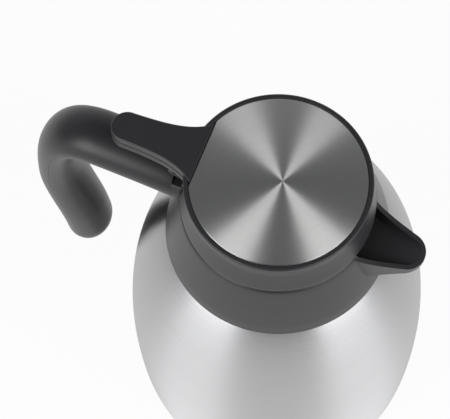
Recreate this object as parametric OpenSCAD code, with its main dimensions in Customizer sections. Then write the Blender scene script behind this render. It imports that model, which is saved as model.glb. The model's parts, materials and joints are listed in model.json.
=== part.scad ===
// Insulated steel serving jug with a thumb-operated flip lid, a pouring spout and a hooked handle.
// Millimetres, +Z up. The origin is the middle of the face that the jug stands on.
// +X points along the spout, and the handle is on the -X side.

/* [Body] */
// Height from the table to the steel disc on the lid
overall_h = 248; // [235:1:270]
// Largest outside radius of the steel body
body_r = 71; // [69:0.5:74]
// Thickness of each steel wall
steel_wall = 1.0; // [0.8:0.1:1.2]
// Evacuated space between the two steel walls at the belly
vacuum_gap = 5.5; // [4.5:0.5:7]
// Radius of the body's flat underside
base_r = 61; // [59:0.5:62]
// Outside radius of the steel neck
neck_r = 34.5; // [34:0.1:35]

/* [Collar] */
// Height of the black collar
collar_h = 32; // [30:0.5:35]
// Outside radius of the collar's top edge
collar_top_r = 40.4; // [40:0.1:41]
// Outside radius of the collar's bottom edge
collar_bottom_r = 48.3; // [47.5:0.1:49]
// Wall of the collar and the spout
collar_wall = 2.4; // [2:0.1:2.6]

/* [Spout] */
// Distance from the jug's axis to the spout's tip
spout_reach = 64.4; // [60:0.2:68]
// Radius of the spout's round tip
spout_tip_r = 8.2; // [7:0.1:9]

/* [Lid] */
// Height of the lid from its lower edge to the steel disc
lid_h = 20.2; // [19.5:0.1:22]
// Radius of the steel disc
disc_r = 36; // [35:0.1:36.5]
// Distance from the axis to the disc's straight edge beside the lever
disc_chord = 32.4; // [31:0.1:33]
// Wall of the lid's mouldings
lid_wall = 2.0; // [1.8:0.1:2.4]

/* [Lever] */
// Distance from the jug's axis to the lever's tip
lever_reach = 71.7; // [68:0.1:74]
// Radius of the lever's round tip
lever_tip_r = 6.3; // [5.5:0.1:7]
// Depth of the lever below the disc
lever_h = 8; // [7:0.2:9]

/* [Hinge] */
// Distance from the jug's axis to the hinge pin
hinge_reach = 42; // [41.5:0.1:43]
// Radius of the hinge pin
pin_r = 1.5; // [1.3:0.1:1.7]
// Radial clearance of the lid on the hinge pin
pin_clearance = 0.05; // [0.03:0.01:0.08]

/* [Stopper] */
// Radial clearance of the stopper's seal in the neck
seal_clearance = 0.05; // [0.03:0.01:0.08]
// Wall of the stopper
stopper_wall = 2.0; // [1.8:0.1:2.4]
// Radius of the pouring hole in the stopper
pour_r = 11; // [9:0.5:12]

/* [Handle] */
// Half of the handle's width
handle_half_w = 12.25; // [11.5:0.05:13]
// Half of the handle's thickness
handle_half_t = 9; // [8:0.1:9.5]
// Wall of the handle's two shells
handle_wall = 2.6; // [2.2:0.1:3]
// Radius of the screws that hold the handle
screw_r = 2; // [1.8:0.1:2.2]

/* [Hidden] */
$fn = 96;
seam_z = overall_h - lid_h;
ledge_z = seam_z - collar_h;
mouth_z = seam_z - 19;
neck_bore = neck_r - steel_wall - 0.7 - steel_wall;
belly_z = 62;
cup_top_z = 6;
plate_z = 4;
cup_floor = 1.6;
pad_h = 1.6;
pad_r = 50;
pad_proud = 0.4;
flask_floor_z = 13;
seal_h = 1.2;
collar_web = 2;
flange_z = mouth_z + seal_h + collar_web;
flange_h = 2.4;
flange_r = collar_top_r - collar_wall - 0.6;
hinge_z = overall_h - 13;
rest_gap = 0.05;
lever_split = 4;
lever_groove = 0.35;
disc_t = 1;
deck_t = 2;
deck_z = overall_h - disc_t - deck_t;
liner_z = seam_z + 1.2;
liner_t = 1.8;
seat_h = 1;
seal_t = 2.5;
stopper_floor_z = seam_z - 34;
stopper_r = neck_bore - 0.9;
gasket_h = 5;
handle_root_x = 43.6;
ear_out = 7.4;
ear_in = 5.7;
pin_recess = 0.6;
knuckle_out = 5.3;
knuckle_in = 3;
barrel_r = 3.4;
small_fit = 0.3;

steel_colour = [0.78, 0.78, 0.79];
black_colour = [0.12, 0.12, 0.13];
rubber_colour = [0.3, 0.3, 0.32];
clear_colour = [0.85, 0.85, 0.82];

// Points along a cubic curve with two end points and two pull points
function bezier(p, n) = [for (i = [0:n]) let(t = i / n)
    pow(1 - t, 3) * p[0] + 3 * pow(1 - t, 2) * t * p[1] + 3 * (1 - t) * t * t * p[2] + pow(t, 3) * p[3]];

// Points on an arc, as radius and height
function arc(cx, cz, r, from, to, n) = [for (i = [0:n]) let(a = from + (to - from) * i / n)
    [cx + r * cos(a), cz + r * sin(a)]];

function reversed(list) = [for (i = [len(list) - 1:-1:0]) list[i]];

// The same points moved towards the axis
function inset_r(list, d) = [for (p = list) [p[0] - d, p[1]]];

// Outside of the steel body from its lower edge to the shoulder under the collar
shoulder_r = collar_bottom_r + 0.6;
body_low = bezier([[base_r, cup_top_z], [base_r + 7, cup_top_z + 3], [body_r, 28], [body_r, belly_z]], 10);
body_high = bezier([[body_r, belly_z], [body_r, belly_z + 12],
    [shoulder_r + 23.4, ledge_z - 36], [shoulder_r, ledge_z - 0.8]], 16);

// Ledge and neck above the shoulder, with an even wall
neck_fillet = 5;
function neck_curve(d, top) = concat(
    [[collar_bottom_r - d, ledge_z - d]],
    arc(neck_r + neck_fillet, ledge_z + neck_fillet, neck_fillet + d, 270, 180, 8),
    [[neck_r - d, top]]);

// Lower half of the outer steel body, up to the weld round the belly
module outer_shell() {
    outside = concat([[base_r, plate_z]], body_low);
    color(steel_colour)
    rotate_extrude()
    polygon(concat(outside, reversed(inset_r(outside, steel_wall))));
}

// Upper half of the outer steel body: shoulder, collar ledge and neck
module outer_shoulder() {
    shell_top = mouth_z - steel_wall;
    inside = concat(inset_r(body_high, steel_wall), neck_curve(steel_wall, shell_top));
    color(steel_colour)
    rotate_extrude()
    polygon(concat(body_high, neck_curve(0, shell_top), reversed(inside)));
}

// Inner steel flask in two halves, with a lip that closes the vacuum space at the mouth
flask_inset = steel_wall + vacuum_gap;
flask_drop = vacuum_gap + 1;
flask_neck_out = neck_bore + steel_wall;
flask_r = body_r - flask_inset;
function flask_low(d) = bezier([[48 - d, flask_floor_z + d], [60 - d, flask_floor_z + d], [flask_r - d, 24],
    [flask_r - d, belly_z]], 8);
function flask_high(d) = concat(
    bezier([[flask_r - d, belly_z], [flask_r - d, belly_z + 12],
        [shoulder_r + 15.4 - d, ledge_z - 42], [shoulder_r - 6.5 - d, ledge_z - flask_drop - 1 - d]], 12),
    arc(flask_neck_out + neck_fillet, ledge_z - flask_drop + neck_fillet, neck_fillet + d, 270, 180, 6));

module inner_flask() {
    color(steel_colour)
    rotate_extrude()
    polygon(concat([[0, flask_floor_z]], flask_low(0), reversed(flask_low(steel_wall)),
        [[0, flask_floor_z + steel_wall]]));
}

module flask_shoulder() {
    color(steel_colour)
    rotate_extrude()
    polygon(concat(
        flask_high(0),
        [[flask_neck_out, mouth_z - steel_wall], [neck_r, mouth_z - steel_wall], [neck_r, mouth_z],
            [neck_bore, mouth_z]],
        reversed(flask_high(steel_wall))));
}

// Steel plate that closes the outer shell from below, with a shallow dish in the middle
dish_r = 34;
dish_h = 2;
module shell_bottom() {
    color(steel_colour)
    rotate_extrude()
    polygon([[5, plate_z + dish_h], [dish_r, plate_z + dish_h], [dish_r + dish_h, plate_z],
        [base_r - steel_wall, plate_z], [base_r - steel_wall, plate_z + steel_wall],
        [dish_r + dish_h - 0.4, plate_z + steel_wall], [dish_r - 0.4, plate_z + dish_h + steel_wall],
        [5, plate_z + dish_h + steel_wall]]);
}

// Small cap that seals the evacuation hole in the bottom plate
cap_r = 9;
module vacuum_cap() {
    color(steel_colour)
    translate([0, 0, plate_z + dish_h - 0.8]) {
        cylinder(r = cap_r, h = 0.8);
        cylinder(r = 5, h = 0.8 + steel_wall);
    }
}

// Getter pill under the inner flask, inside the vacuum
module getter() {
    color(rubber_colour)
    translate([24, 0, flask_floor_z - 1.5])
    cylinder(r = 6, h = 1.5);
}

// Plastic cup round the lower edge of the body
module base_cup() {
    color(black_colour)
    difference() {
        rotate_extrude()
        polygon([[0, pad_proud], [base_r, pad_proud], [base_r + 2, pad_proud + 2], [base_r + 2, cup_top_z],
            [base_r, cup_top_z], [base_r, plate_z], [dish_r + dish_h + 2, plate_z],
            [dish_r + dish_h + 2, pad_h + cup_floor], [0, pad_h + cup_floor]]);
        cylinder(r = pad_r, h = pad_h);
    }
}

// Rubber pad that the jug stands on
module base_pad() {
    color(rubber_colour)
    cylinder(r = pad_r, h = pad_h);
}

// Collar: outside outline with two soft steps, an even wall, a web on the mouth and a sleeve on the neck
function collar_outside(d) = [[collar_bottom_r - d, ledge_z], [collar_bottom_r - 0.7 - d, ledge_z + 5],
    [collar_top_r + 4.6 - d, ledge_z + 15], [collar_top_r + 2.4 - d, seam_z - 9],
    [collar_top_r + 0.9 - d, seam_z - 3.5], [collar_top_r - d, seam_z - 0.6]];

// Half width of the spout's outside at a distance from the axis
spout_root = 30;
function spout_half(x, d) = spout_tip_r - d + 0.305 * (spout_reach - spout_tip_r - x);

// Plan of the spout, set in by d
module spout_plan(d) {
    centre = spout_reach - spout_tip_r;
    turn = 17;
    polygon(concat(
        [[spout_root, -spout_half(spout_root, d)]],
        arc(centre, 0, spout_tip_r - d, -90 + turn, 90 - turn, 24),
        [[spout_root, spout_half(spout_root, d)]]));
}

// Points of the spout in side view, as distance from the axis and height
spout_rim = bezier([[collar_top_r - 3, seam_z - 0.6], [collar_top_r + 3, seam_z - 6],
    [collar_top_r + 12, seam_z - 7], [spout_reach + 1, seam_z - 7.6]], 10);
spout_depth = 20;
spout_under = bezier([[spout_reach + 1, seam_z - 9.8], [spout_reach - 8, seam_z - 12.6],
    [collar_top_r + 10, seam_z - 15.5], [collar_top_r + 3, seam_z - spout_depth]], 8);
spout_floor = bezier([[spout_root - 1, seam_z - 13], [collar_top_r + 6, seam_z - 12.6],
    [spout_reach - 14, seam_z - 11.8], [spout_reach - 1.6, seam_z - 7.3]], 8);

// Turns a drawing in X and Y into a slab in X and Z that is centred on the jug's axis
module side_slab(width) {
    translate([0, width / 2, 0])
    rotate([90, 0, 0])
    linear_extrude(height = width)
    children();
}

module spout_solid() {
    intersection() {
        translate([0, 0, seam_z - 30])
        linear_extrude(height = 30)
        spout_plan(0);
        side_slab(60)
        polygon(concat([[spout_root, seam_z - 0.6]], spout_rim, spout_under, [[spout_root, seam_z - spout_depth]]));
    }
}

module spout_channel() {
    intersection() {
        translate([0, 0, seam_z - 20])
        linear_extrude(height = 21)
        spout_plan(collar_wall - 0.4);
        side_slab(60)
        polygon(concat(spout_floor, [[spout_reach - 1.6, seam_z + 1], [spout_root - 1, seam_z + 1]]));
    }
}

// Seat for the handle's end: a boss on the collar with the handle's own outline
boss_high_z = seam_z - 0.8;
handle_root_z = overall_h - 26.6;
screw_z = handle_root_z - handle_half_t / 2;
screw_y = 5.5;
head_h = 2;
head_depth = handle_root_x - collar_top_r + collar_wall - 0.6 - head_h;
oval_steps = 32;

// The handle's outline, grown by d, as a bar along X
module handle_oval(d, from, to) {
    translate([-to, 0, handle_root_z])
    rotate([90, 0, 90])
    linear_extrude(height = to - from)
    polygon([for (k = [0:oval_steps - 1]) let(a = 360 * k / oval_steps)
        [(handle_half_w + d) * cos(a), (handle_half_t + d) * sin(a)]]);
}

module screw_places() {
    for (side = [-1, 1])
        translate([-handle_root_x, side * screw_y, screw_z])
        rotate([0, 90, 0])
        children();
}

// Inner radius of the collar above its web
collar_in_r = collar_top_r - collar_wall;
rib_count = 8;
sleeve_low_z = ledge_z + neck_fillet + 0.6;

module collar_web_and_sleeve() {
    difference() {
        union() {
            translate([0, 0, flange_z - collar_web])
            cylinder(r = collar_top_r + 3.2, h = collar_web);
            translate([0, 0, sleeve_low_z])
            cylinder(r = neck_r + 2, h = flange_z - 1 - sleeve_low_z);
        }
        translate([0, 0, sleeve_low_z - 1])
        cylinder(r = neck_bore + 0.4, h = 40);
        translate([0, 0, sleeve_low_z - 1])
        cylinder(r = neck_r, h = mouth_z + seal_h - sleeve_low_z + 1);
    }
}

// Ribs that tie the sleeve to the wall
module collar_ribs() {
    intersection() {
        rotate_extrude()
        polygon(concat([[neck_r + 1, ledge_z]], collar_outside(1), [[neck_r + 1, seam_z - 0.6]]));
        for (i = [0:rib_count - 1])
            rotate([0, 0, (i + 0.5) * 360 / rib_count])
            translate([0, -0.8, sleeve_low_z])
            cube([collar_bottom_r, 1.6, flange_z - 1 - sleeve_low_z]);
    }
}

module collar() {
    color(black_colour)
    difference() {
        union() {
            rotate_extrude()
            polygon(concat(collar_outside(0), reversed(collar_outside(collar_wall))));
            collar_web_and_sleeve();
            collar_ribs();
            difference() {
                spout_solid();
                translate([0, 0, seam_z - 40])
                cylinder(r = collar_in_r + 0.6, h = 50);
            }
            difference() {
                handle_oval(0, handle_root_x - 10, handle_root_x);
                translate([0, 0, seam_z - 40])
                cylinder(r = collar_in_r + 0.6, h = 50);
                translate([-handle_root_x - 1, -handle_half_w - 1, boss_high_z])
                cube([12, 2 * handle_half_w + 2, 10]);
            }
        }
        handle_oval(0.1, handle_root_x, handle_root_x + 6);
        spout_channel();
        screw_places()
        translate([0, 0, -1])
        cylinder(r = screw_r, h = 20);
        screw_places()
        translate([0, 0, head_depth])
        cylinder(r = screw_r + 2, h = 10);
    }
}

// Silicone ring between the flask's lip and the collar's web
module collar_seal() {
    color(rubber_colour)
    translate([0, 0, mouth_z])
    difference() {
        cylinder(r = neck_r, h = seal_h);
        translate([0, 0, -1])
        cylinder(r = neck_bore + 0.4, h = seal_h + 2);
    }
}

// The handle follows a route in the plane through the spout, as distance from the axis and height
bend_start = [78, overall_h - 22.6];
bend_end = [104, overall_h - 66];
arm_end = [97.2, overall_h - 126];
handle_route = concat(
    bezier([[handle_root_x, handle_root_z], [56, overall_h - 24.6], [67, overall_h - 23.4], bend_start], 6),
    [for (i = [1:10]) bezier([bend_start, [96, overall_h - 21.6], [102.2, overall_h - 38], bend_end], 10)[i]],
    [for (i = [1:8]) bezier([bend_end, [105.2, overall_h - 84], [98.4, overall_h - 104], arm_end], 8)[i]],
    [for (step = [4.6, 8.9, 11.8, 13]) arm_end - [0, step]]);

// The section grows a little thicker down the arm
handle_flare = 1.8;
flare_top_z = overall_h - 60;
flare_h = 50;
function section_t(i) = handle_half_t + handle_flare * min(1, max(0, (flare_top_z - handle_route[i][1]) / flare_h));

// Share of the full section at each of the last points, where the free end is rounded
end_shares = [0.97, 0.86, 0.64, 0.3];
solid_root_rings = 2;
handle_count = len(handle_route);

function unit(v) = v / norm(v);
function route_way(i) = unit(handle_route[min(i + 1, handle_count - 1)] - handle_route[max(i - 1, 0)]);
function end_share(i) = i < handle_count - len(end_shares) ? 1 : end_shares[i - handle_count + len(end_shares)];

// How hollow the section is: closed at the root, where the screws bite, and at the free end
function hollow_share(i) = i <= solid_root_rings || i >= handle_count - len(end_shares) - 1 ? 0 : 1;

// One ring of a half shell, in space: the outer half oval and back along the inner one
half_steps = 12;
function half_ring(i, side) =
    let(way = i == 0 ? [1, 0] : route_way(i), out = [-way[1], way[0]], s = end_share(i), h = hollow_share(i))
    [for (k = [0:2 * half_steps + 1])
        let(inner = k > half_steps,
            a = 180 * (inner ? 2 * half_steps + 1 - k : k) / half_steps,
            w = s * (handle_half_w - (inner ? handle_wall : 0)) * cos(a),
            t = s * (inner ? h * (section_t(i) - handle_wall) : section_t(i)) * sin(a),
            p = handle_route[i] + out * t * side)
        [-p[0], w, p[1]]];

// Closed solid through all rings of a half shell
module half_shell(side) {
    ring = 2 * half_steps + 2;
    points = [for (i = [0:handle_count - 1]) each half_ring(i, side)];
    sides = [for (i = [0:handle_count - 2], k = [0:ring - 1])
        let(a = i * ring + k, b = i * ring + (k + 1) % ring)
        each (side > 0 ? [[a, b, b + ring], [a, b + ring, a + ring]] : [[a, b + ring, b], [a, a + ring, b + ring]])];
    cap = [for (k = [0:half_steps - 1]) let(a = k, b = k + 1, c = ring - 1 - k, d = ring - 2 - k)
        each (k < half_steps / 2 ? [[a, c, b], [b, c, d]] : [[a, c, d], [a, d, b]])];
    flipped = [for (f = cap) reversed(f)];
    last_at = (handle_count - 1) * ring;
    first = side > 0 ? cap : flipped;
    last = [for (f = side > 0 ? flipped : cap) [for (k = f) last_at + k]];
    polyhedron(points = points, faces = concat(sides, first, last));
}

module handle_bores() {
    screw_places()
    translate([0, 0, -12])
    cylinder(r = screw_r, h = 13, $fn = 24);
}

module handle_outer() {
    color(black_colour)
    half_shell(1);
}

module handle_inner() {
    color(black_colour)
    difference() {
        half_shell(-1);
        handle_bores();
    }
}

// Two screws from inside the collar into the root of the handle
module handle_screws() {
    color(steel_colour)
    screw_places() {
        translate([0, 0, -11])
        cylinder(r = screw_r, h = 11 + head_depth);
        translate([0, 0, head_depth])
        cylinder(r = screw_r + 1.6, h = head_h);
    }
}

// Hinge bracket of the stopper in side view, from the flange over the collar's edge to the pin
bracket_front = hinge_reach - 9.5;
bracket_back = flange_r - 0.3;
bracket_wall = 2.4;
module bracket_side() {
    polygon([[-bracket_front, flange_z + 1], [-bracket_back, flange_z + 1], [-bracket_back, seam_z + 0.8],
        [-hinge_reach - 2.4, hinge_z - 2.4], [-hinge_reach, hinge_z], [-hinge_reach, hinge_z + barrel_r],
        [-bracket_front - 2.2, hinge_z + 1], [-bracket_front, hinge_z - 3]]);
    translate([-hinge_reach, hinge_z])
    circle(r = barrel_r);
}

// A cylinder along Y on the hinge axis
module hinge_cylinder(r, width) {
    translate([-hinge_reach, width / 2, hinge_z])
    rotate([90, 0, 0])
    cylinder(r = r, h = width, $fn = 48);
}

// Stopper: a cup in the neck with a pouring hole and valve seat, a flange and the hinge bracket
module stopper_body() {
    color(black_colour)
    difference() {
        union() {
            rotate_extrude()
            polygon([[pour_r, stopper_floor_z], [stopper_r - 3, stopper_floor_z], [stopper_r, stopper_floor_z + 3],
                [stopper_r, flange_z + rest_gap], [flange_r, flange_z + rest_gap], [flange_r, flange_z + flange_h],
                [stopper_r - stopper_wall, flange_z + flange_h],
                [stopper_r - stopper_wall, stopper_floor_z + stopper_wall],
                [pour_r + 2.5, stopper_floor_z + stopper_wall],
                [pour_r + 2.5, stopper_floor_z + stopper_wall + seat_h],
                [pour_r, stopper_floor_z + stopper_wall + seat_h]]);
            for (side = [-1, 1])
                translate([0, side * (ear_in + ear_out) / 2, 0])
                side_slab(ear_out - ear_in)
                bracket_side();
            translate([-bracket_back, -ear_out, flange_z + 1])
            cube([bracket_wall, 2 * ear_out, seam_z - flange_z - 1]);
        }
        hinge_cylinder(pin_r, 2 * ear_out + 2);
        rotate_extrude()
        translate([stopper_r - 1.2, gasket_z])
        square([5, gasket_h]);
    }
}

// Silicone seal in the stopper's groove, with two lips
gasket_z = mouth_z - 9;
gasket_r = neck_bore - seal_clearance;
module stopper_gasket() {
    color(rubber_colour)
    rotate_extrude()
    polygon([[stopper_r - 1.2, gasket_z], [gasket_r, gasket_z], [gasket_r, gasket_z + 1.4],
        [stopper_r, gasket_z + 1.9], [stopper_r, gasket_z + gasket_h - 1.9], [gasket_r, gasket_z + gasket_h - 1.4],
        [gasket_r, gasket_z + gasket_h], [stopper_r - 1.2, gasket_z + gasket_h]]);
}

module hinge_pin() {
    color(steel_colour)
    hinge_cylinder(pin_r, 2 * (ear_out - pin_recess));
}

// Return spring on the pin, as one tube: turns of wire, an upper leg under the lid and a lower leg that
// rests on the bracket's wall
spring_wire_r = 0.4;
spring_coil_r = pin_r + 1;
spring_turns = 3.5;
spring_pitch = 1.15;
spring_steps = 12;
spring_leg = 7;
spring_gap = 0.1;
function coil_point(i) = let(a = 360 * i / spring_steps + 90)
    [spring_coil_r * cos(a), spring_pitch * i / spring_steps - spring_turns * spring_pitch / 2,
        spring_coil_r * sin(a)];
function spring_route() =
    let(last = spring_turns * spring_steps, q = coil_point(last), p = coil_point(0),
        foot = [hinge_reach - bracket_back + bracket_wall / 2, q[1], seam_z + spring_wire_r + spring_gap - hinge_z])
    concat([p + [spring_leg, 0, 0]], [for (i = [0:last]) coil_point(i)], [foot]);

module wire(route, r, sides) {
    count = len(route);
    points = [for (i = [0:count - 1])
        let(way = unit(route[min(i + 1, count - 1)] - route[max(i - 1, 0)]),
            u = unit(cross([0, 1, 0], way)), v = cross(way, u))
        each [for (k = [0:sides - 1]) route[i] + r * (cos(360 * k / sides) * u + sin(360 * k / sides) * v)]];
    walls = [for (i = [0:count - 2], k = [0:sides - 1])
        let(a = i * sides + k, b = i * sides + (k + 1) % sides)
        each [[a, b + sides, b], [a, a + sides, b + sides]]];
    polyhedron(points = points, faces = concat(walls, [[for (k = [0:sides - 1]) k]],
        [[for (k = [sides - 1:-1:0]) (count - 1) * sides + k]]));
}

module lid_spring() {
    color(steel_colour)
    translate([-hinge_reach, 0, hinge_z])
    wire(spring_route(), spring_wire_r, 6);
}

// Lid ring in profile: flared skirt, drawn-in band, lip round the disc, deck below the disc
lip_r = disc_r + 2.3;
module lid_profile() {
    polygon([[collar_top_r, seam_z], [collar_top_r - 0.2, seam_z + 1.4], [disc_r + 2.9, seam_z + 7],
        [disc_r + 1.7, seam_z + 12], [disc_r + 1.4, seam_z + 14.4], [disc_r + 1.8, seam_z + 16.6],
        [lip_r, seam_z + 17.8], [lip_r, overall_h - 1], [lip_r - 0.5, overall_h - 0.5],
        [disc_r + 0.2, overall_h - 0.5], [disc_r + 0.2, overall_h - disc_t], [0, overall_h - disc_t],
        [0, deck_z], [disc_r + 1.4 - lid_wall, deck_z], [disc_r + 0.2, liner_z + liner_t],
        [collar_top_r - lid_wall, liner_z + liner_t], [collar_top_r - lid_wall, seam_z]]);
}

// Half width of the lever at a distance from the axis
function lever_half(x) = lever_tip_r + 6.6 * exp((34 - x) / 9);

// Plan of the lever from a start to the round tip, grown by d
module lever_plan(start, d) {
    centre = lever_reach - lever_tip_r;
    side = [for (i = [0:9]) let(x = start + (centre - start) * i / 9) [-x, lever_half(x) + d]];
    polygon(concat(side, [for (p = arc(0, 0, lever_tip_r + 0.2 + d, 90, -90, 16)) [-centre - p[0], p[1]]],
        [for (i = [9:-1:0]) [side[i][0], -side[i][1]]]));
}

// Pocket in the back of the lid for the hinge bracket
pocket_half = 14;
pocket_front = bracket_front - 1.5;
lever_low_z = overall_h - lever_h;

module pocket(grow, low, high) {
    translate([-disc_r - 8, -pocket_half - grow, low])
    cube([disc_r + 8 - pocket_front + grow, 2 * (pocket_half + grow), high - low]);
}

// Hinge plates of the lid in side view
module knuckle_side() {
    polygon([[-pocket_front - 0.5, lever_low_z + 1], [-pocket_front - 0.5, hinge_z - 1],
        [-hinge_reach, hinge_z - barrel_r], [-hinge_reach, hinge_z + barrel_r], [-disc_r - 1, lever_low_z + 1]]);
    translate([-hinge_reach, hinge_z])
    circle(r = barrel_r);
}

boss_ring_r = 29;
module lid_boss_places() {
    for (a = [30, 150, 270])
        rotate([0, 0, a])
        translate([boss_ring_r, 0, 0])
        children();
}

// Lid moulding: ring, deck, upper half of the lever, pocket walls, hinge plates and screw bosses
module lid_ring() {
    color(black_colour)
    difference() {
        union() {
            difference() {
                rotate_extrude()
                lid_profile();
                pocket(0, seam_z - 1, lever_low_z);
                translate([-lip_r - 1, -pocket_half, deck_z + deck_t])
                cube([lip_r + 1 - disc_chord, 2 * pocket_half, 5]);
            }
            intersection() {
                difference() {
                    pocket(lid_wall - 0.4, liner_z + liner_t, deck_z + 0.5);
                    pocket(0, seam_z, lever_low_z);
                }
                translate([0, 0, seam_z])
                cylinder(r = disc_r + 0.6, h = lid_h);
            }
            lever_top();
            for (side = [-1, 1])
                translate([0, side * (knuckle_in + knuckle_out) / 2, 0])
                side_slab(knuckle_out - knuckle_in)
                knuckle_side();
            lid_boss_places()
            translate([0, 0, liner_z + liner_t])
            cylinder(r = 3.2, h = deck_z - liner_z - liner_t + 0.5, $fn = 32);
        }
        hinge_cylinder(pin_r + pin_clearance, 2 * ear_out);
        lid_boss_places()
        translate([0, 0, liner_z])
        cylinder(r = 1.4, h = 10, $fn = 24);
    }
}

module lever_top() {
    split_z = overall_h - lever_split;
    difference() {
        translate([0, 0, split_z])
        linear_extrude(height = lever_split)
        lever_plan(disc_chord + small_fit, 0);
        translate([0, 0, split_z - 1])
        linear_extrude(height = lever_split - lid_wall + 1)
        difference() {
            lever_plan(disc_r + 3.4, -lid_wall);
            circle(r = lip_r + 1);
        }
    }
}

// Lower half of the lever, a tray with a lip that sits inside the upper half
module lever_tray() {
    tray_h = lever_h - lever_split - lever_groove;
    lip_h = lever_h - lid_wall;
    color(black_colour)
    translate([0, 0, lever_low_z])
    linear_extrude(height = 1.6)
    difference() {
        lever_plan(disc_r, small_fit);
        circle(r = lip_r);
    }
    color(black_colour)
    translate([0, 0, lever_low_z])
    linear_extrude(height = tray_h)
    difference() {
        lever_plan(disc_r, small_fit);
        lever_plan(disc_r + 3.4, -lid_wall);
        circle(r = lip_r + 1);
    }
    color(black_colour)
    translate([0, 0, lever_low_z])
    linear_extrude(height = lip_h)
    difference() {
        lever_plan(disc_r + 3.4, -lid_wall);
        lever_plan(disc_r + 4.6, -lid_wall - 1.2);
        circle(r = lip_r + 1);
    }
}

// Steel disc with its straight edge beside the lever
module disc_plate() {
    color(steel_colour)
    translate([0, 0, overall_h - disc_t])
    intersection() {
        cylinder(r = disc_r, h = disc_t);
        translate([-disc_chord, -disc_r, 0])
        cube([2 * disc_r + disc_chord, 2 * disc_r, disc_t]);
    }
}

// Foam disc inside the lid
foam_r = 24;
module lid_foam() {
    color(clear_colour)
    translate([0, 0, liner_z + liner_t])
    cylinder(r = foam_r, h = deck_z - liner_z - liner_t);
}

// Plate that closes the lid from below, with the valve's stem
stem_r = 6.5;
valve_z = stopper_floor_z + stopper_wall + seat_h + rest_gap;
module lid_liner() {
    color(black_colour)
    difference() {
        union() {
            translate([0, 0, liner_z])
            cylinder(r = collar_top_r - lid_wall, h = liner_t);
            translate([0, 0, valve_z + seal_t])
            cylinder(r = stem_r, h = liner_z - valve_z - seal_t + 0.5);
            translate([0, 0, valve_z + seal_t])
            cylinder(r = pour_r + 1, h = 1.6);
        }
        pocket(lid_wall - 0.4, seam_z, lever_low_z);
        lid_boss_places()
        translate([0, 0, seam_z])
        cylinder(r = 1.4, h = 5, $fn = 24);
    }
}

// Three screws that hold the liner
module lid_screws() {
    color(steel_colour)
    lid_boss_places() {
        translate([0, 0, liner_z])
        cylinder(r = 1.4, h = 9, $fn = 24);
        translate([0, 0, liner_z - 1.1])
        cylinder(r = 2.6, h = 1.1, $fn = 24);
    }
}

// Silicone disc on the stem that closes the pouring hole
module valve_seal() {
    color(rubber_colour)
    translate([0, 0, valve_z])
    cylinder(r = pour_r + 2.5, h = seal_t);
}

outer_shell();
outer_shoulder();
inner_flask();
flask_shoulder();
shell_bottom();
vacuum_cap();
getter();
base_cup();
base_pad();
collar();
collar_seal();
handle_outer();
handle_inner();
handle_screws();
stopper_body();
stopper_gasket();
hinge_pin();
lid_spring();
lid_ring();
lever_tray();
disc_plate();
lid_foam();
lid_liner();
lid_screws();
valve_seal();
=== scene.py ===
"""Looks of the insulated jug: smooth visible pieces, procedural materials, studio light and camera.

Metres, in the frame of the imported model: +Z up, +X along the spout, handle on the -X side.
"""
import json
import math

import bpy
import bmesh
from mathutils import Matrix, Vector


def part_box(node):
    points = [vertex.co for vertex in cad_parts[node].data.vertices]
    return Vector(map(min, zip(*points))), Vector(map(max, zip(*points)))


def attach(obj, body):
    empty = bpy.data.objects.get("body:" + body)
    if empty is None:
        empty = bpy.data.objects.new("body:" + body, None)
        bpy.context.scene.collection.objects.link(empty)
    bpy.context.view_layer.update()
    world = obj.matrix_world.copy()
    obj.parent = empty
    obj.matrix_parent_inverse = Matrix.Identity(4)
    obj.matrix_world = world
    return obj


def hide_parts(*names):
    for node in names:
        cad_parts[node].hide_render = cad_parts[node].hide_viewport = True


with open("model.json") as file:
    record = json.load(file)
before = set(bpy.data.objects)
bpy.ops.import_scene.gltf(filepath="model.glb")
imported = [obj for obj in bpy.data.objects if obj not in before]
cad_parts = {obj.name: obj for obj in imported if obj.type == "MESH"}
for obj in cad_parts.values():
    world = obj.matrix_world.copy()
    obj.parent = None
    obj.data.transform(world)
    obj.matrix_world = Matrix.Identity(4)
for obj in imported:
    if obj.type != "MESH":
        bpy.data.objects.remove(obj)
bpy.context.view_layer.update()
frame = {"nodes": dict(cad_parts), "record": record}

MM = 0.001

# Heights and radii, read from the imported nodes
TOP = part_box("disc_plate")[1][2]
DISC_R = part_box("disc_plate")[1][0]
CHORD = -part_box("disc_plate")[0][0]
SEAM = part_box("lid_ring")[0][2]
LID_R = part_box("lid_ring")[1][0]
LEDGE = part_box("collar")[0][2]
COLLAR_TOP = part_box("collar")[1][2]
COLLAR_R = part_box("collar")[1][1]
SPOUT_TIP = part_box("collar")[1][0]
BODY_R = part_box("outer_shell")[1][0]
SHELL_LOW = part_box("outer_shell")[0][2]
BOTTOM_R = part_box("shell_bottom")[1][0]
NECK_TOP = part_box("outer_shoulder")[1][2]
NECK_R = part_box("collar_seal")[1][0]
WEB_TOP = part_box("stopper_body")[0][2] + 18.2 * MM
TRAY_PROUD = 0.3 * MM
LEVER_TIP = -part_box("lever_tray")[0][0] - TRAY_PROUD
LEVER_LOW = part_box("lever_tray")[0][2]
HANDLE_HALF_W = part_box("handle_outer")[1][1]
HANDLE_ROOT = -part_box("handle_outer")[1][0]

# Body and collar sizes that the boxes don't give
STEEL_WALL = 1 * MM
BELLY = 62 * MM
NECK_FILLET = 5 * MM
COLLAR_WALL = 2.4 * MM
SPOUT_ROOT = 30 * MM
SPOUT_TIP_R = 8.2 * MM
SPOUT_TIP_TURN = 73
SPOUT_FLARE = 0.305
SPOUT_DEPTH = 20 * MM

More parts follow.
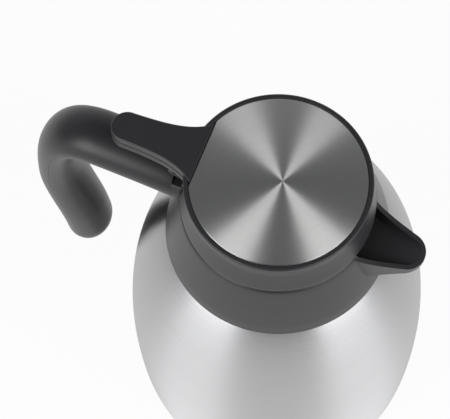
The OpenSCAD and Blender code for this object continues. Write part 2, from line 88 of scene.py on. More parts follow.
# Lid and lever sizes that the boxes don't give
DOME = 0.4 * MM
LIP_TOP = TOP - DOME - 0.1 * MM
DECK_LOW = TOP - 3 * MM
LID_STEP = SEAM + 3 * MM
LEVER_TIP_R = 6.3 * MM
LEVER_FLARE = 6.6 * MM
LEVER_FLARE_AT = 34 * MM
LEVER_FLARE_FADE = 9 * MM
LEVER_SPLIT = TOP - 4 * MM
LEVER_GROOVE = 0.35 * MM
POCKET_FRONT = -31 * MM
POCKET_HALF = 14 * MM
HINGE_X = -42 * MM
HINGE_Z = TOP - 13 * MM

# Handle sizes that the boxes don't give
HANDLE_ROOT_Z = TOP - 26.6 * MM
HANDLE_HALF_T = 9 * MM
HANDLE_SWELL = 1.8 * MM
HANDLE_SWELL_TOP = TOP - 60 * MM
HANDLE_SWELL_REACH = 50 * MM
HANDLE_END = (97.2 * MM, TOP - 126 * MM)
HANDLE_LOW = TOP - 139 * MM

# Steps round the large turned pieces, and the angle in degrees from which an edge is sharp
FINE = 256
SHARP = 35

# How far from the axis a cutter reaches, which is well past the deck and the disc
CUT_REACH = 60 * MM


# Curves and outlines

def bezier(p, n):
    """Points on a cubic curve, as tuples"""
    points = []
    for i in range(n + 1):
        t = i / n
        w = ((1 - t) ** 3, 3 * (1 - t) ** 2 * t, 3 * (1 - t) * t * t, t ** 3)
        points.append(tuple(sum(w[k] * p[k][j] for k in range(4)) for j in range(2)))
    return points


def arc(cx, cy, r, start, end, n):
    """Points on an arc, with its angles in degrees"""
    angles = [math.radians(start + (end - start) * i / n) for i in range(n + 1)]
    return [(cx + r * math.cos(a), cy + r * math.sin(a)) for a in angles]


def rounded(points, radii, n):
    """The open outline with its inner corners rounded to about the given radii"""
    out = [points[0]]
    for i in range(1, len(points) - 1):
        a, b, c = (Vector(points[i + k]) for k in (-1, 0, 1))
        u = a - b
        v = c - b
        reach = min(radii[i], 0.45 * u.length, 0.45 * v.length)
        if reach <= 0:
            out.append(tuple(b))
            continue
        p = b + u.normalized() * reach
        q = b + v.normalized() * reach
        for k in range(n + 1):
            t = k / n
            out.append(tuple((1 - t) ** 2 * p + 2 * (1 - t) * t * b + t * t * q))
    out.append(points[-1])
    return out


# Mesh makers

def new_object(name, verts, faces, smooth_angle=SHARP):
    """A mesh object with doubles merged and normals outwards, smooth up to an angle in degrees"""
    mesh = bpy.data.meshes.new(name)
    mesh.from_pydata([tuple(v) for v in verts], [], faces)
    mesh.validate()
    work = bmesh.new()
    work.from_mesh(mesh)
    bmesh.ops.remove_doubles(work, verts=work.verts, dist=1e-7)
    bmesh.ops.recalc_face_normals(work, faces=work.faces)
    work.to_mesh(mesh)
    work.free()
    mesh.polygons.foreach_set("use_smooth", [True] * len(mesh.polygons))
    mesh.set_sharp_from_angle(angle=math.radians(smooth_angle))
    obj = bpy.data.objects.new(name, mesh)
    bpy.context.scene.collection.objects.link(obj)
    return obj


def revolve(name, profile, steps, smooth_angle=SHARP):
    """Turns a closed profile of (radius, height) points round Z"""
    count = len(profile)
    verts = []
    for i in range(steps):
        a = 2 * math.pi * i / steps
        verts += [(r * math.cos(a), r * math.sin(a), z) for r, z in profile]
    faces = []
    for i in range(steps):
        j = (i + 1) % steps
        for k in range(count):
            m = (k + 1) % count
            if profile[k][0] < 1e-9 and profile[m][0] < 1e-9:
                continue
            faces.append([i * count + k, j * count + k, j * count + m, i * count + m])
    return new_object(name, verts, faces, smooth_angle)


def ring(name, inner, outer, low, high, steps):
    """A plain ring round Z between two radii and two heights, or a disc where the inner radius is 0"""
    return revolve(name, [(inner, low), (outer, low), (outer, high), (inner, high)], steps)


def slab(name, outline, low, high):
    """A flat outline of (x, y) points made into a solid between two heights"""
    n = len(outline)
    verts = [(x, y, low) for x, y in outline] + [(x, y, high) for x, y in outline]
    faces = [list(range(n - 1, -1, -1)), list(range(n, 2 * n))]
    faces += [[i, (i + 1) % n, n + (i + 1) % n, n + i] for i in range(n)]
    return new_object(name, verts, faces)


def block(name, start, end, half_width, low, high):
    """A block from start to end along X, even on both sides of Y = 0, between two heights"""
    outline = [(start, -half_width), (end, -half_width), (end, half_width), (start, half_width)]
    return slab(name, outline, low, high)


def bar(name, near, far):
    """A solid between two like outlines of points"""
    n = len(near)
    faces = [list(range(n)), list(range(2 * n - 1, n - 1, -1))]
    faces += [[i, n + i, n + (i + 1) % n, (i + 1) % n] for i in range(n)]
    return new_object(name, near + far, faces)


def side_slab(name, outline, half_width):
    """A flat outline of (x, z) points made into a solid across Y"""
    near = [(x, -half_width, z) for x, z in outline]
    far = [(x, half_width, z) for x, z in outline]
    return bar(name, near, far)


def apply_modifiers(obj):
    """Bakes the modifiers into the mesh"""
    graph = bpy.context.evaluated_depsgraph_get()
    mesh = bpy.data.meshes.new_from_object(obj.evaluated_get(graph))
    obj.modifiers.clear()
    obj.data = mesh


def combine(obj, other, operation, smooth_angle=SHARP):
    """Boolean with another object, which is then deleted"""
    mod = obj.modifiers.new("combine", "BOOLEAN")
    mod.object = other
    mod.operation = operation
    mod.solver = "EXACT"
    bpy.context.view_layer.update()
    apply_modifiers(obj)
    bpy.data.objects.remove(other)
    obj.data.polygons.foreach_set("use_smooth", [True] * len(obj.data.polygons))
    obj.data.set_sharp_from_angle(angle=math.radians(smooth_angle))


def soften(obj, width, segments):
    """Rounds the sharp edges, as a moulding or a pressed edge has"""
    mod = obj.modifiers.new("edges", "BEVEL")
    mod.width = width
    mod.segments = segments
    mod.limit_method = "ANGLE"
    mod.angle_limit = math.radians(SHARP)
    mod.harden_normals = True
    mod.use_clamp_overlap = True
    bpy.context.view_layer.update()
    apply_modifiers(obj)


# Node trees

class Nodes:
    """A node tree with short calls for its nodes"""

    def __init__(self, tree):
        self.nodes = tree.nodes
        self.links = tree.links

    def join(self, source, target):
        self.links.new(source, target)

    def feed(self, value, target):
        """Sets a socket to a number, or links another node's output to it"""
        if isinstance(value, (int, float)):
            target.default_value = value
        else:
            self.join(value, target)

    def math(self, operation, a, b=None):
        node = self.nodes.new("ShaderNodeMath")
        node.operation = operation
        self.feed(a, node.inputs[0])
        if b is not None:
            self.feed(b, node.inputs[1])
        return node.outputs["Value"]

    def split(self, vector):
        """The x, y and z of a vector"""
        node = self.nodes.new("ShaderNodeSeparateXYZ")
        self.join(vector, node.inputs["Vector"])
        return node.outputs

    def ramp(self, value, stops):
        """A grey that eases through (place, level) stops"""
        node = self.nodes.new("ShaderNodeValToRGB")
        node.color_ramp.interpolation = "EASE"
        while len(node.color_ramp.elements) < len(stops):
            node.color_ramp.elements.new(0.5)
        for element, (at, level) in zip(node.color_ramp.elements, stops):
            element.position = at
            element.color = (level, level, level, 1)
        self.join(value, node.inputs["Fac"])
        return node.outputs["Color"]


class Shader(Nodes):
    """A material with a Principled shader"""

    def __init__(self, name, color, roughness, metallic=0.0):
        self.material = bpy.data.materials.new(name)
        self.material.use_nodes = True
        super().__init__(self.material.node_tree)
        self.main = self.nodes["Principled BSDF"]
        self.main.inputs["Base Color"].default_value = (*color, 1)
        self.main.inputs["Roughness"].default_value = roughness
        self.main.inputs["Metallic"].default_value = metallic
        self.place = self.nodes.new("ShaderNodeTexCoord").outputs["Object"]

    def noise(self, vector, scale, detail=2.0, roughness=0.5):
        node = self.nodes.new("ShaderNodeTexNoise")
        node.inputs["Scale"].default_value = scale
        node.inputs["Detail"].default_value = detail
        node.inputs["Roughness"].default_value = roughness
        self.join(vector, node.inputs["Vector"])
        return node.outputs["Fac"]

    def stretch(self, value, low, high):
        """Maps 0 to 1 onto low to high"""
        node = self.nodes.new("ShaderNodeMapRange")
        node.inputs["To Min"].default_value = low
        node.inputs["To Max"].default_value = high
        self.join(value, node.inputs["Value"])
        return node.outputs["Result"]

    def mix(self, value, low, high):
        """A colour between two"""
        node = self.nodes.new("ShaderNodeMix")
        node.data_type = "RGBA"
        node.inputs["A"].default_value = (*low, 1)
        node.inputs["B"].default_value = (*high, 1)
        self.join(value, node.inputs["Factor"])
        return node.outputs["Result"]

    def vector(self, x, y, z):
        node = self.nodes.new("ShaderNodeCombineXYZ")
        for socket, value in zip(node.inputs, (x, y, z)):
            self.feed(value, socket)
        return node.outputs["Vector"]

    def vary_color(self, value, low, high):
        self.join(self.mix(value, low, high), self.main.inputs["Base Color"])

    def vary_roughness(self, value, low, high):
        self.join(self.stretch(value, low, high), self.main.inputs["Roughness"])

    def bump(self, height, strength, distance, under=None):
        """A bump from a height, on top of another bump's normal where one is given"""
        node = self.nodes.new("ShaderNodeBump")
        node.inputs["Strength"].default_value = strength
        node.inputs["Distance"].default_value = distance
        self.join(height, node.inputs["Height"])
        if under is not None:
            self.join(under, node.inputs["Normal"])
        self.join(node.outputs["Normal"], self.main.inputs["Normal"])
        return node.outputs["Normal"]

    def brushed_round(self, anisotropy):
        """Grooves that run round the Z axis, so gloss spreads across them"""
        node = self.nodes.new("ShaderNodeTangent")
        node.direction_type = "RADIAL"
        node.axis = "Z"
        self.join(node.outputs["Tangent"], self.main.inputs["Tangent"])
        self.main.inputs["Anisotropic"].default_value = anisotropy
        self.main.inputs["Anisotropic Rotation"].default_value = 0.25

    def axis_radius(self):
        """Distance from the Z axis"""
        x, y, _ = self.split(self.place)
        return self.math("SQRT", self.math("ADD", self.math("MULTIPLY", x, x), self.math("MULTIPLY", y, y)))

    def axis_angle(self):
        """Turn round the Z axis"""
        x, y, _ = self.split(self.place)
        return self.math("ARCTAN2", y, x)

    def brushed_lines(self, across, fineness, breaks, roughness):
        """Fine lines that change with a height or a radius, and less often along their length"""
        angle = self.axis_angle()
        place = self.vector(self.math("MULTIPLY", self.math("COSINE", angle), breaks),
                            self.math("MULTIPLY", self.math("SINE", angle), breaks),
                            self.math("MULTIPLY", across, fineness))
        return self.noise(place, 1.0, 3.0, roughness)


# Materials

# The crown that the disc's gloss shows: its fall below the middle is this times the radius squared
DISC_CROWN = 3.0


def body_steel():
    """Steel brushed round the body: fine lines at one height, broken along their length"""
    s = Shader("body_steel", (0.66, 0.66, 0.67), 0.45, 1.0)
    s.brushed_round(0.97)
    lines = s.brushed_lines(s.split(s.place)[2], fineness=5000.0, breaks=1.0, roughness=0.6)
    s.vary_color(lines, (0.5, 0.5, 0.51), (0.72, 0.72, 0.725))
    s.vary_roughness(lines, 0.28, 0.42)
    s.bump(lines, strength=0.2, distance=0.00004)
    return s.material


def disc_steel():
    """Steel brushed in circles round the middle of the lid"""
    s = Shader("disc_steel", (0.62, 0.62, 0.61), 0.3, 1.0)
    s.brushed_round(1.0)
    radius = s.axis_radius()
    lines = s.brushed_lines(radius, fineness=9000.0, breaks=3.0, roughness=0.65)
    s.vary_color(lines, (0.6, 0.6, 0.59), (0.8, 0.8, 0.79))
    s.vary_roughness(lines, 0.42, 0.58)
    fall = s.math("MULTIPLY", s.math("MULTIPLY", radius, radius), -DISC_CROWN)
    crown = s.bump(fall, strength=1.0, distance=1.0)
    s.bump(lines, strength=0.15, distance=0.00003, under=crown)
    return s.material


def moulding(name, color, roughness, grain=0.25):
    """Satin moulded plastic with a fine spark-eroded grain"""
    s = Shader(name, color, roughness)
    s.main.inputs["Specular IOR Level"].default_value = 0.5
    fine = s.noise(s.place, scale=3500.0)
    broad = s.noise(s.place, scale=25.0)
    s.vary_roughness(broad, roughness - 0.04, roughness + 0.05)
    brighter = tuple(c * 1.3 + 0.002 for c in color)
    s.vary_color(broad, color, brighter)
    s.bump(fine, strength=grain, distance=0.00003)
    return s.material


def rubber(name, color):
    """Matte rubber or silicone with a fine unevenness"""
    s = Shader(name, color, 0.6)
    fine = s.noise(s.place, scale=900.0, detail=3.0)
    s.vary_color(fine, tuple(c * 0.85 for c in color), color)
    s.vary_roughness(fine, 0.5, 0.72)
    s.bump(fine, strength=0.3, distance=0.00008)
    return s.material


def plain_steel():
    """Steel of the screws, the pin and the spring"""
    s = Shader("fastener_steel", (0.58, 0.58, 0.58), 0.28, 1.0)
    fine = s.noise(s.place, scale=1200.0, detail=3.0)
    s.vary_roughness(fine, 0.2, 0.4)
    s.vary_color(fine, (0.5, 0.5, 0.5), (0.64, 0.64, 0.64))
    s.bump(fine, strength=0.1, distance=0.00003)
    return s.material


def foam():
    """Rigid foam with fine cells"""
    s = Shader("foam", (0.8, 0.78, 0.7), 0.85)
    cells = s.noise(s.place, scale=900.0, detail=4.0, roughness=0.6)
    s.vary_color(cells, (0.68, 0.65, 0.56), (0.86, 0.84, 0.77))
    s.bump(cells, strength=0.8, distance=0.0004)
    return s.material


MATERIALS = {
    "body_steel": body_steel(),
    "disc_steel": disc_steel(),
    "black_plastic": moulding("black_plastic", (0.02, 0.02, 0.022), 0.38),
    "inner_plastic": moulding("inner_plastic", (0.018, 0.018, 0.02), 0.3, 0.15),
    "silicone": rubber("silicone", (0.5, 0.5, 0.49)),
    "rubber_pad": rubber("rubber_pad", (0.03, 0.03, 0.03)),
    "fastener_steel": plain_steel(),
    "foam": foam(),
}


def dress(piece, slot, body, *nodes):
    """Gives a new piece its material, slot and body, and hides the nodes that it stands for"""
    piece.data.materials.clear()
    piece.data.materials.append(MATERIALS[slot])
    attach(piece, body)
    if nodes:
        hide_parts(*nodes)


# Steel body

def make_body():
    """Outer shell with an even wall, from its lower rim over the belly and shoulder to the neck"""
    base_r = BOTTOM_R + STEEL_WALL
    base_z = SHELL_LOW + 2 * MM
    shoulder = COLLAR_R + 0.6 * MM
    low = bezier([(base_r, base_z), (base_r + 7 * MM, base_z + 3 * MM), (BODY_R, 28 * MM),
                  (BODY_R, BELLY)], 40)
    high = bezier([(BODY_R, BELLY), (BODY_R, BELLY + 12 * MM), (shoulder + 23.4 * MM, LEDGE - 36 * MM),
                   (shoulder, LEDGE - 0.8 * MM)], 72)

    def neck(d):
        curve = arc(NECK_R + NECK_FILLET, LEDGE + NECK_FILLET, NECK_FILLET + d, 270, 180, 8)
        return [(COLLAR_R - d, LEDGE - d)] + curve + [(NECK_R - d, NECK_TOP)]

    outside = [(base_r, SHELL_LOW)] + low + high[1:]
    inside = [(r - STEEL_WALL, z) for r, z in outside]
    piece = revolve("body_outer_shell", outside + neck(0) + (inside + neck(STEEL_WALL))[::-1], FINE)
    dress(piece, "body_steel", "jug", "outer_shell", "outer_shoulder")


# Collar and spout

def collar_outside(d):
    """The collar's outside from its lower edge up to its rim, set in by d"""
    return [(COLLAR_R - d, LEDGE), (COLLAR_R - 0.7 * MM - d, LEDGE + 5 * MM),
            (LID_R + 4.6 * MM - d, LEDGE + 15 * MM), (LID_R + 2.4 * MM - d, SEAM - 9 * MM),
            (LID_R + 0.9 * MM - d, SEAM - 3.5 * MM), (LID_R + 0.2 * MM - d, COLLAR_TOP - 0.8 * MM),
            (LID_R - 0.8 * MM - d, COLLAR_TOP)]


def spout_plan(d, root):
    """The spout seen from above, from a root to its round tip, set in by d"""
    tip_r = SPOUT_TIP_R - d
    centre = SPOUT_TIP - SPOUT_TIP_R
    half = tip_r + SPOUT_FLARE * (centre - root)
    return [(root, -half)] + arc(centre, 0, tip_r, -SPOUT_TIP_TURN, SPOUT_TIP_TURN, 40) + [(root, half)]


def collar_room():
    """The round space inside the collar, as a solid to cut with"""
    return ring("collar_room", 0, LID_R - COLLAR_WALL + 0.6 * MM, SEAM - 40 * MM, SEAM + 10 * MM, 128)


def handle_oval(name, grow, near, far):
    """The handle's outline, grown a little, as a bar along X between two distances from the axis"""
    count = 64
    half_w = HANDLE_HALF_W + grow
    half_t = HANDLE_HALF_T + grow
    turns = [2 * math.pi * k / count for k in range(count)]
    outline = [(half_w * math.cos(a), HANDLE_ROOT_Z + half_t * math.sin(a)) for a in turns]
    return bar(name, [(-near, y, z) for y, z in outline], [(-far, y, z) for y, z in outline])


def make_spout():
    """The spout's outside, between its rim and its underside, as a solid"""
    solid = slab("spout_solid", spout_plan(0, SPOUT_ROOT), SEAM - 30 * MM, SEAM)
    rim = bezier([(LID_R - 3 * MM, COLLAR_TOP), (LID_R + 3 * MM, SEAM - 6 * MM),
                  (LID_R + 12 * MM, SEAM - 7 * MM), (SPOUT_TIP + 1 * MM, SEAM - 7.6 * MM)], 32)
    under = bezier([(SPOUT_TIP + 1 * MM, SEAM - 9.8 * MM), (SPOUT_TIP - 8 * MM, SEAM - 12.6 * MM),
                    (LID_R + 10 * MM, SEAM - 15.5 * MM), (LID_R + 3 * MM, SEAM - SPOUT_DEPTH)], 32)
    outline = [(SPOUT_ROOT, COLLAR_TOP)] + rim + under + [(SPOUT_ROOT, SEAM - SPOUT_DEPTH)]
    combine(solid, side_slab("spout_side", outline, 30 * MM), "INTERSECT")
    combine(solid, collar_room(), "DIFFERENCE")
    return solid


def make_channel():
    """The spout's inside, above its floor, as a solid to cut with"""
    root = SPOUT_ROOT - 1 * MM
    end = SPOUT_TIP - 1.6 * MM
    top = SEAM + 1 * MM
    channel = slab("spout_channel", spout_plan(COLLAR_WALL - 0.4 * MM, root), SEAM - 20 * MM, top)
    floor = bezier([(root, SEAM - 13 * MM), (LID_R + 6 * MM, SEAM - 12.6 * MM),
                    (SPOUT_TIP - 14 * MM, SEAM - 11.8 * MM), (end, SEAM - 7.3 * MM)], 32)
    combine(channel, side_slab("spout_above", floor + [(end, top), (root, top)], 30 * MM), "INTERSECT")
    return channel


def make_boss():
    """The boss that carries the handle's root"""
    boss = handle_oval("boss", 0, HANDLE_ROOT - 10 * MM, HANDLE_ROOT)
    combine(boss, collar_room(), "DIFFERENCE")
    above = block("above_boss", -60 * MM, -20 * MM, 20 * MM, SEAM - 0.8 * MM, SEAM + 20 * MM)
    combine(boss, above, "DIFFERENCE")
    return boss


def make_collar():
    """Collar with its spout and boss in one moulding, and the web and the sleeve that hold it on the neck"""
    outer = rounded(collar_outside(0), [0, 4 * MM, 5 * MM, 5 * MM, 3 * MM, 0.5 * MM, 0], 6)
    piece = revolve("collar_moulding", outer + collar_outside(COLLAR_WALL)[::-1], FINE)
    combine(piece, make_spout(), "UNION")
    combine(piece, make_channel(), "DIFFERENCE")
    combine(piece, make_boss(), "UNION")
    seat_gap = 0.1 * MM
    seat = handle_oval("seat", seat_gap, HANDLE_ROOT, HANDLE_ROOT + 6 * MM)
    combine(piece, seat, "DIFFERENCE")
    soften(piece, 0.35 * MM, 3)
    dress(piece, "black_plastic", "jug", "collar")
    web_low = WEB_TOP - 2 * MM
    web = ring("collar_sleeve", NECK_R - 2.3 * MM, NECK_R + 8.4 * MM, web_low, WEB_TOP, 128)
    dress(web, "black_plastic", "jug")
    sleeve = ring("collar_neck_sleeve", NECK_R, NECK_R + 2 * MM, LEDGE + 5.6 * MM, web_low, 128)
    dress(sleeve, "black_plastic", "jug")


# Lid

def lever_half(x):
    """Half width of the lever at a distance from the axis, with a flare that fades out towards the tip"""
    return LEVER_TIP_R + LEVER_FLARE * math.exp((LEVER_FLARE_AT - x) / LEVER_FLARE_FADE)


def lever_plan(start, d):
    """The lever seen from above, from a start to its round tip, grown by d"""
    steps = 30
    flare_left = 0.2 * MM
    centre = LEVER_TIP - LEVER_TIP_R
    tip_r = LEVER_TIP_R + flare_left + d
    distances = [start + (centre - start) * i / steps for i in range(steps + 1)]
    side = [(-x, lever_half(x) + d) for x in distances]
    tip = [(-centre - x, y) for x, y in arc(0, 0, tip_r, 88, -88, 32)]
    return side + tip + [(x, -y) for x, y in side[::-1]]


def make_lid_ring():
    """Flared ring with a drawn-in band and the lip round the disc, open for the lever and its pocket"""
    lip_r = DISC_R + 2.3 * MM
    seat = TOP - 1.6 * MM
    outer = [(LID_R - 0.9 * MM, SEAM), (LID_R, SEAM + 0.8 * MM), (LID_R - 0.2 * MM, SEAM + 2 * MM),
             (DISC_R + 2.9 * MM, SEAM + 7 * MM), (DISC_R + 1.7 * MM, SEAM + 12 * MM),
             (DISC_R + 1.4 * MM, SEAM + 14.4 * MM), (DISC_R + 1.8 * MM, SEAM + 16.6 * MM),
             (lip_r, SEAM + 17.8 * MM), (lip_r, LIP_TOP - 0.5 * MM), (lip_r - 0.5 * MM, LIP_TOP),
             (DISC_R + 0.25 * MM, LIP_TOP), (DISC_R + 0.25 * MM, seat)]
    radii = [r * MM for r in (0, 0.5, 0.8, 4, 2, 1.5, 1, 0.6, 0.5, 0.5, 0.3, 0)]
    inner = [(DISC_R - 2 * MM, seat), (DISC_R - 2 * MM, DECK_LOW), (DISC_R - 0.6 * MM, SEAM + 15 * MM),
             (DISC_R + 0.2 * MM, LID_STEP), (LID_R - 2 * MM, LID_STEP), (LID_R - 2 * MM, SEAM)]
    piece = revolve("lid_moulding", rounded(outer, radii, 5) + inner, FINE)
    pocket = block("pocket", -46 * MM, POCKET_FRONT, POCKET_HALF, SEAM - 1 * MM, LEVER_LOW)
    combine(piece, pocket, "DIFFERENCE")
    lever_room = slab("lever_room", lever_plan(CHORD + 0.3 * MM, -0.4 * MM), LEVER_SPLIT, TOP + 4 * MM)
    combine(piece, lever_room, "DIFFERENCE")
    soften(piece, 0.2 * MM, 2)
    dress(piece, "black_plastic", "lid", "lid_ring")


def make_lever():
    """Upper half of the lever, lower tray, and the core that shows in the groove between them"""
    upper = slab("lever_upper", lever_plan(CHORD + 0.35 * MM, 0), LEVER_SPLIT, TOP)
    soften(upper, 0.8 * MM, 4)
    dress(upper, "black_plastic", "lid")
    lower_top = LEVER_SPLIT - LEVER_GROOVE
    lower = slab("lever_lower", lever_plan(DISC_R + 0.5 * MM, TRAY_PROUD), LEVER_LOW, lower_top)
    soften(lower, 0.6 * MM, 4)
    dress(lower, "black_plastic", "lid", "lever_tray")
    core_plan = lever_plan(DISC_R + 1 * MM, -0.6 * MM)
    core = slab("lever_core", core_plan, LEVER_SPLIT - 1 * MM, LEVER_SPLIT + 1 * MM)
    dress(core, "black_plastic", "lid")


def make_lid_inside():
    """Deck under the disc, pocket wall and roof, hinge plates and screw bosses"""
    deck = ring("lid_deck", 0, DISC_R - 1.8 * MM, DECK_LOW, TOP - 1.1 * MM, 96)
    cut = block("deck_cut", -CUT_REACH, -CHORD + 1 * MM, CUT_REACH, TOP - 9 * MM, TOP + 3 * MM)
    combine(deck, cut, "DIFFERENCE")
    dress(deck, "black_plastic", "lid")
    in_deck = TOP - 2.9 * MM
    wall_half = POCKET_HALF + 1 * MM
    wall = block("pocket_wall", POCKET_FRONT, POCKET_FRONT + 1.6 * MM, wall_half, LID_STEP, in_deck)
    dress(wall, "black_plastic", "lid")
    roof_half = POCKET_HALF - 0.5 * MM
    roof_back = -36.5 * MM
    roof_front = POCKET_FRONT + 0.5 * MM
    roof_plan = [(roof_back, -roof_half), (roof_front, -wall_half), (roof_front, wall_half),
                 (roof_back, roof_half)]
    roof = slab("pocket_roof", roof_plan, LEVER_LOW, LEVER_LOW + 1.6 * MM)
    dress(roof, "black_plastic", "lid")
    barrel_r = 3.4 * MM
    plate_half = 1.15 * MM
    plate_y = 4.15 * MM
    plate_top = LEVER_LOW + 1 * MM
    barrel = arc(HINGE_X, HINGE_Z, barrel_r, 270, 90, 24)
    outline = [(POCKET_FRONT, plate_top), (POCKET_FRONT, HINGE_Z - 1 * MM)] + barrel + [(-37 * MM, plate_top)]
    for number, y in enumerate((-plate_y, plate_y)):
        plate = side_slab("hinge_plate_%d" % number, outline, plate_half)
        plate.data.transform(Matrix.Translation((0, y, 0)))
        soften(plate, 0.3 * MM, 2)
        dress(plate, "black_plastic", "lid")
    hole_r = 1.4 * MM
    boss_r = 3.2 * MM
    circle_r = 29 * MM
    for number, turn in enumerate((30, 150, 270)):
        a = math.radians(turn)
        boss = ring("lid_boss_%d" % number, hole_r, boss_r, LID_STEP, in_deck, 32)
        boss.data.transform(Matrix.Translation((circle_r * math.cos(a), circle_r * math.sin(a), 0)))
        dress(boss, "black_plastic", "lid")


def make_disc():
    """Disc with a very slight dome, a small chamfer round its edge and one straight side"""
    edge = 0.35 * MM
    rings = 24
    smooth_angle = 30
    low = TOP - DOME - 2 * edge
    profile = [(0.0, low), (DISC_R, low), (DISC_R, TOP - DOME - edge)]
    for i in range(rings + 1):
        r = (DISC_R - edge) * (1 - i / rings)
        profile.append((r, TOP - DOME * (r / DISC_R) ** 2))
    piece = revolve("disc_brushed", profile, FINE, smooth_angle)
    cutter = block("chord", -CUT_REACH, -CHORD, CUT_REACH, TOP - 3 * MM, TOP + 3 * MM)
    combine(piece, cutter, "DIFFERENCE", smooth_angle)
    dress(piece, "disc_steel", "lid", "disc_plate")


# Handle

def handle_route(n):
    """Middle line of the handle in (distance from the axis, height)"""
    bend_start = (78 * MM, TOP - 22.6 * MM)
    bend_end = (104 * MM, TOP - 66 * MM)
    root = bezier([(HANDLE_ROOT, HANDLE_ROOT_Z), (56 * MM, TOP - 24.6 * MM), (67 * MM, TOP - 23.4 * MM),
                   bend_start], n)
    bend = bezier([bend_start, (96 * MM, TOP - 21.6 * MM), (102.2 * MM, TOP - 38 * MM), bend_end], 2 * n)
    arm = bezier([bend_end, (105.2 * MM, TOP - 84 * MM), (98.4 * MM, TOP - 104 * MM), HANDLE_END], 2 * n)
    return root + bend[1:] + arm[1:]


def handle_rings():
    """Middle points of the handle's rings, and each ring's share of the full size, down to the round end"""
    middles = [Vector(p) for p in handle_route(16)]
    shares = [1.0] * len(middles)
    tail = 18
    least = 0.02
    bluntness = 0.7
    start = middles[-1].y
    for i in range(1, tail + 1):
        a = math.pi / 2 * i / tail
        middles.append(Vector((HANDLE_END[0], start - (start - HANDLE_LOW) * math.sin(a))))
        shares.append(max(math.cos(a), least) ** bluntness)
    return middles, shares


def handle_half_t(height):
    """Half thickness, which swells a little down the arm"""
    share = (HANDLE_SWELL_TOP - height) / HANDLE_SWELL_REACH
    return HANDLE_HALF_T + HANDLE_SWELL * min(1, max(0, share))


def half_shell(name, side):
    """One half of the handle, on the outer side (1) or the inner side (-1) of its middle line"""
    middles, shares = handle_rings()
    steps = 24
    last = len(middles) - 1
    gap = 0.04 * MM
    drawn_in = 0.06 * MM
    edge_share = 1 - drawn_in / HANDLE_HALF_W
    verts = []
    for i, p in enumerate(middles):
        way = (middles[min(i + 1, last)] - middles[max(i - 1, 0)]).normalized()
        if i == 0:
            way = Vector((1, 0))
        out = Vector((-way.y, way.x))
        for k in range(steps + 1):
            a = math.pi * k / steps
            w = shares[i] * HANDLE_HALF_W * math.cos(a)
            t = shares[i] * handle_half_t(p.y) * math.sin(a)
            if k in (0, steps):
                w *= edge_share
            q = p + out * side * (t + gap)
            verts.append((-q.x, w, q.y))
    count = steps + 1
    faces = []
    for i in range(last):
        a = i * count
        b = a + count
        faces += [[a + k, a + k + 1, b + k + 1, b + k] for k in range(steps)]
        faces.append([a + steps, a, b, b + steps])
    faces.append(list(range(count)))
    faces.append([last * count + k for k in range(count - 1, -1, -1)])
    return new_object(name, verts, faces, 50)


def make_handle():
    """Two half shells with a rounded free end and a fine groove where they meet"""
    dress(half_shell("handle_upper_shell", 1), "black_plastic", "jug", "handle_outer")
    dress(half_shell("handle_lower_shell", -1), "black_plastic", "jug", "handle_inner")


# CAD nodes that stay

def dress_nodes():
    """Gives each CAD node the material of its slot"""
    slots = {s["node"]: s["material_slot"] for s in frame["record"]["subparts"]}
    for name, obj in frame["nodes"].items():
        obj.data.materials.clear()
        obj.data.materials.append(MATERIALS[slots[name]])


# Camera, fitted to the photograph

# Size and optical middle of the frame and focal length in pixels, and the sensor's width in millimetres
FRAME_SIZE = (450, 419)
OPTICAL_MIDDLE = (267.5, 187.5)
FOCAL_LENGTH = 1500
SENSOR = 36

# Which way the camera looks, and how far it is left of, behind and above the middle of the disc
VIEW_TURN = math.radians(21)
VIEW_ELEVATION = math.radians(67.89)
CAMERA_LEFT = 0.0044
CAMERA_BACK = 0.2277
CAMERA_UP = 0.5522


def make_camera():
    right = Vector((math.cos(VIEW_TURN), math.sin(VIEW_TURN), 0))
    ahead = Vector((-math.sin(VIEW_TURN), math.cos(VIEW_TURN), 0))
    up = ahead * math.sin(VIEW_ELEVATION) + Vector((0, 0, math.cos(VIEW_ELEVATION)))
    back = -ahead * math.cos(VIEW_ELEVATION) + Vector((0, 0, math.sin(VIEW_ELEVATION)))
    place = Vector((0, 0, TOP)) - right * CAMERA_LEFT - ahead * CAMERA_BACK + Vector((0, 0, CAMERA_UP))
    width, height = FRAME_SIZE
    data = bpy.data.cameras.new("camera")
    data.sensor_width = SENSOR
    data.lens = SENSOR * FOCAL_LENGTH / width
    data.shift_x = (width / 2 - OPTICAL_MIDDLE[0]) / width
    data.shift_y = (OPTICAL_MIDDLE[1] - height / 2) / width
    data.clip_start = 0.01
    camera = bpy.data.objects.new("camera", data)
    camera.matrix_world = Matrix((
        (right.x, up.x, back.x, place.x),
        (right.y, up.y, back.y, place.y),
        (right.z, up.z, back.z, place.z),
        (0, 0, 0, 1)))
    bpy.context.scene.collection.objects.link(camera)
    bpy.context.scene.camera = camera


# Stage

# The walls' light by height (sine of elevation) and by the turn away from the camera's side (share of 180)
HEIGHT_STOPS = [(0.0, 1.0), (0.45, 0.8), (0.7, 0.2), (0.9, 0.0)]
AZIMUTH_STOPS = [(0.0, 0.0), (0.1, 0.02), (0.22, 1.0), (0.36, 1.0), (0.47, 0.1), (0.6, 0.15), (0.85, 0.6),
                 (1.0, 0.8)]
CEILING_LEVEL = 0.14
LIGHT_COLOR = (0.97, 0.98, 1.0, 1)

# The floor's colour, the share of plain white in what the camera and gloss see of it, its half size and depth
FLOOR_COLOR = (0.94, 0.94, 0.94)
FLOOR_OWN_WHITE = 0.94
FLOOR_REACH = 14
FLOOR_DEPTH = 0.02

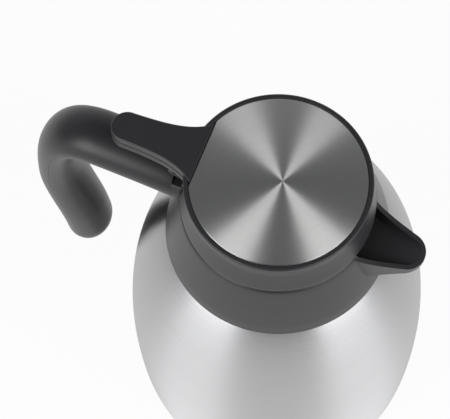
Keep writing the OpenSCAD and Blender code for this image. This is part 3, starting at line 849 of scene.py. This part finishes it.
# The softboxes' turn to each side of the camera, distance, height, size, power and aim
SOFTBOX_TURN = math.radians(48)
SOFTBOX_DISTANCE = 1.1
SOFTBOX_HEIGHT = 1.05
SOFTBOX_SIZE = 0.8
SOFTBOX_POWER = 8
SOFTBOX_AIM = (0, 0, 0.15)


def make_floor():
    """Pale floor: mostly its own white to the camera, gloss and glass, and still with its shadow"""
    s = Shader("floor", FLOOR_COLOR, 0.7)
    glow = s.nodes.new("ShaderNodeEmission")
    glow.inputs["Strength"].default_value = 1.0
    path = s.nodes.new("ShaderNodeLightPath")
    seen = s.math("MAXIMUM", path.outputs["Is Camera Ray"], path.outputs["Is Glossy Ray"])
    seen = s.math("MAXIMUM", seen, path.outputs["Is Transmission Ray"])
    mix = s.nodes.new("ShaderNodeMixShader")
    s.join(s.math("MULTIPLY", seen, FLOOR_OWN_WHITE), mix.inputs["Fac"])
    s.join(s.main.outputs["BSDF"], mix.inputs[1])
    s.join(glow.outputs["Emission"], mix.inputs[2])
    s.join(mix.outputs["Shader"], s.nodes["Material Output"].inputs["Surface"])
    floor = block("floor", -FLOOR_REACH, FLOOR_REACH, FLOOR_REACH, -FLOOR_DEPTH, 0.0)
    floor.data.materials.append(s.material)


def make_world():
    """Studio light: bright walls at both sides, a softer one behind the jug, and a dim ceiling and front"""
    world = bpy.data.worlds.new("studio")
    bpy.context.scene.world = world
    world.use_nodes = True
    tree = Nodes(world.node_tree)
    place = tree.nodes.new("ShaderNodeTexCoord")
    turn = tree.nodes.new("ShaderNodeMapping")
    turn.inputs["Rotation"].default_value = (0, 0, -VIEW_TURN)
    tree.join(place.outputs["Generated"], turn.inputs["Vector"])
    x, y, z = tree.split(turn.outputs["Vector"])
    azimuth = tree.math("ARCTAN2", x, tree.math("MULTIPLY", y, -1.0))
    share = tree.math("DIVIDE", tree.math("ABSOLUTE", azimuth), math.pi)
    walls = tree.math("MULTIPLY", tree.ramp(z, HEIGHT_STOPS), tree.ramp(share, AZIMUTH_STOPS))
    soft = tree.nodes["Background"]
    tree.join(tree.math("ADD", walls, CEILING_LEVEL), soft.inputs["Strength"])
    soft.inputs["Color"].default_value = LIGHT_COLOR


def make_softbox(name, side):
    """A square area light on the left (-1) or the right (1) of the camera"""
    turn = VIEW_TURN - math.pi / 2 + side * SOFTBOX_TURN
    place = (SOFTBOX_DISTANCE * math.cos(turn), SOFTBOX_DISTANCE * math.sin(turn), SOFTBOX_HEIGHT)
    data = bpy.data.lights.new(name, "AREA")
    data.shape = "RECTANGLE"
    data.size = SOFTBOX_SIZE
    data.size_y = SOFTBOX_SIZE
    data.energy = SOFTBOX_POWER
    lamp = bpy.data.objects.new(name, data)
    lamp.location = place
    way = Vector(SOFTBOX_AIM) - Vector(place)
    lamp.rotation_euler = way.to_track_quat("-Z", "Y").to_euler()
    bpy.context.scene.collection.objects.link(lamp)


make_camera()
dress_nodes()
make_body()
make_collar()
make_lid_ring()
make_lever()
make_lid_inside()
make_disc()
make_handle()
make_floor()
make_world()
make_softbox("softbox_left", -1)
make_softbox("softbox_right", 1)

bpy.context.scene.view_settings.view_transform = "Standard"
